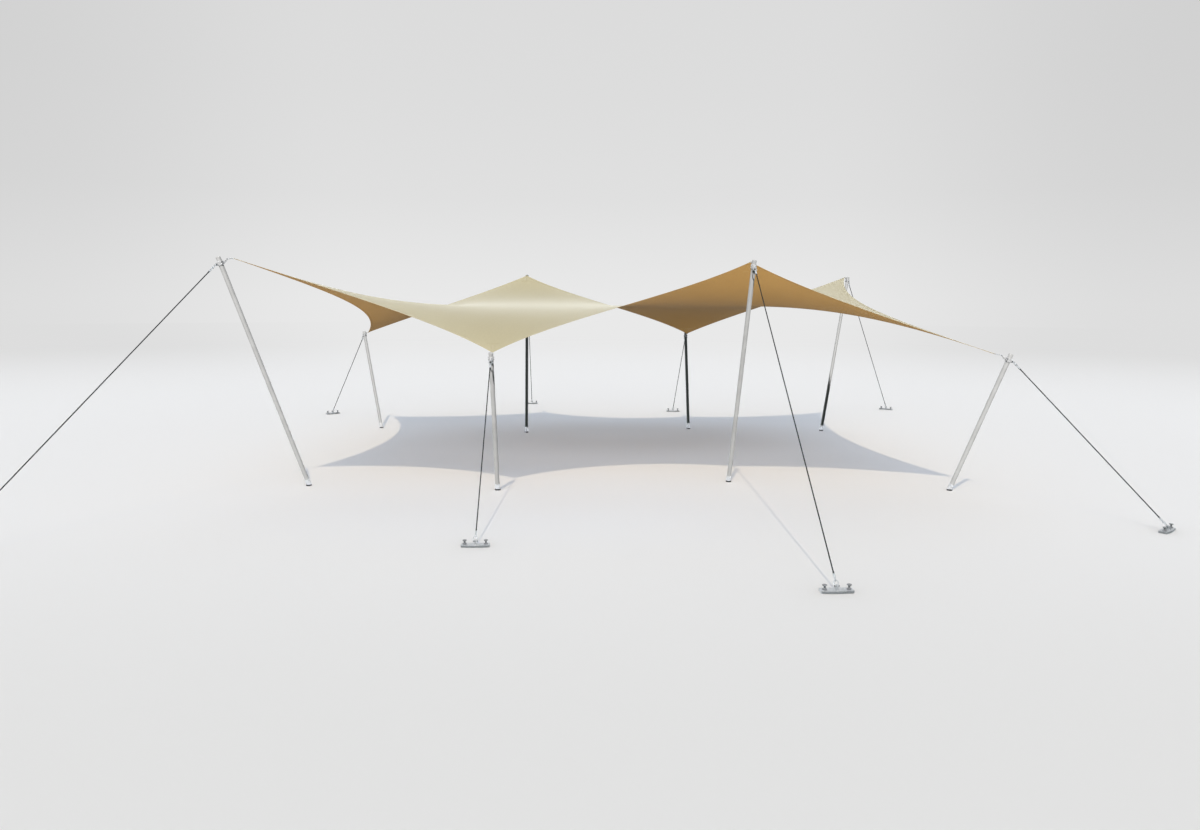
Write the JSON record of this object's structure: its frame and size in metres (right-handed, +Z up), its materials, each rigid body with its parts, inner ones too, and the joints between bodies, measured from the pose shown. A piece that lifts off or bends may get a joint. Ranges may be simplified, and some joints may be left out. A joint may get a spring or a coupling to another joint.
{
  "type": "stretch tent",
  "caption": "Open-sided stretch tent: one curved cloth canopy pulled between high and low leaning poles, each held by a guy rope to a pegged ground plate.",
  "frame": {"origin": "on the ground at the centre of the tent's plan", "axes": "+Z up, +X along the long side with its three bays, +Y across the tent towards its back edge; the tent looks the same after half a turn about Z"},
  "size_m": [18.2274, 17.4886, 4.013],
  "materials": {
    "membrane_fabric": "woven stretch cloth, cream above and tan below",
    "pole_aluminium": "satin, drawn lengthwise",
    "sleeve_plastic": "off-white, moulded",
    "pad_rubber": "black, matt",
    "steel_fitting": "galvanised, satin",
    "guy_rope": "dark grey laid rope",
    "ground_steel": "galvanised, dull"
  },
  "bodies": {
    "root": {"membrane": "membrane_fabric", "pole_front_left": "pole_aluminium", "pole_front_mid_left": "pole_aluminium", "pole_front_mid_right": "pole_aluminium", "pole_front_right": "pole_aluminium", "pole_back_right": "pole_aluminium", "pole_back_mid_right": "pole_aluminium", "pole_back_mid_left": "pole_aluminium", "pole_back_left": "pole_aluminium", "foot_sleeve_front_left": "sleeve_plastic", "foot_sleeve_front_mid_left": "sleeve_plastic", "foot_sleeve_front_mid_right": "sleeve_plastic", "foot_sleeve_front_right": "sleeve_plastic", "foot_sleeve_back_right": "sleeve_plastic", "foot_sleeve_back_mid_right": "sleeve_plastic", "foot_sleeve_back_mid_left": "sleeve_plastic", "foot_sleeve_back_left": "sleeve_plastic", "foot_pad_front_left": "pad_rubber", "foot_pad_front_mid_left": "pad_rubber", "foot_pad_front_mid_right": "pad_rubber", "foot_pad_front_right": "pad_rubber", "foot_pad_back_right": "pad_rubber", "foot_pad_back_mid_right": "pad_rubber", "foot_pad_back_mid_left": "pad_rubber", "foot_pad_back_left": "pad_rubber", "head_collar_front_left": "steel_fitting", "head_collar_front_mid_left": "steel_fitting", "head_collar_front_mid_right": "steel_fitting", "head_collar_front_right": "steel_fitting", "head_collar_back_right": "steel_fitting", "head_collar_back_mid_right": "steel_fitting", "head_collar_back_mid_left": "steel_fitting", "head_collar_back_left": "steel_fitting", "guy_rope_front_left": "guy_rope", "guy_rope_front_mid_left": "guy_rope", "guy_rope_front_mid_right": "guy_rope", "guy_rope_front_right": "guy_rope", "guy_rope_back_right": "guy_rope", "guy_rope_back_mid_right": "guy_rope", "guy_rope_back_mid_left": "guy_rope", "guy_rope_back_left": "guy_rope", "ground_plate_front_left": "ground_steel", "ground_plate_front_mid_left": "ground_steel", "ground_plate_front_mid_right": "ground_steel", "ground_plate_front_right": "ground_steel", "ground_plate_back_right": "ground_steel", "ground_plate_back_mid_right": "ground_steel", "ground_plate_back_mid_left": "ground_steel", "ground_plate_back_left": "ground_steel"}
  },
  "joints": []
}
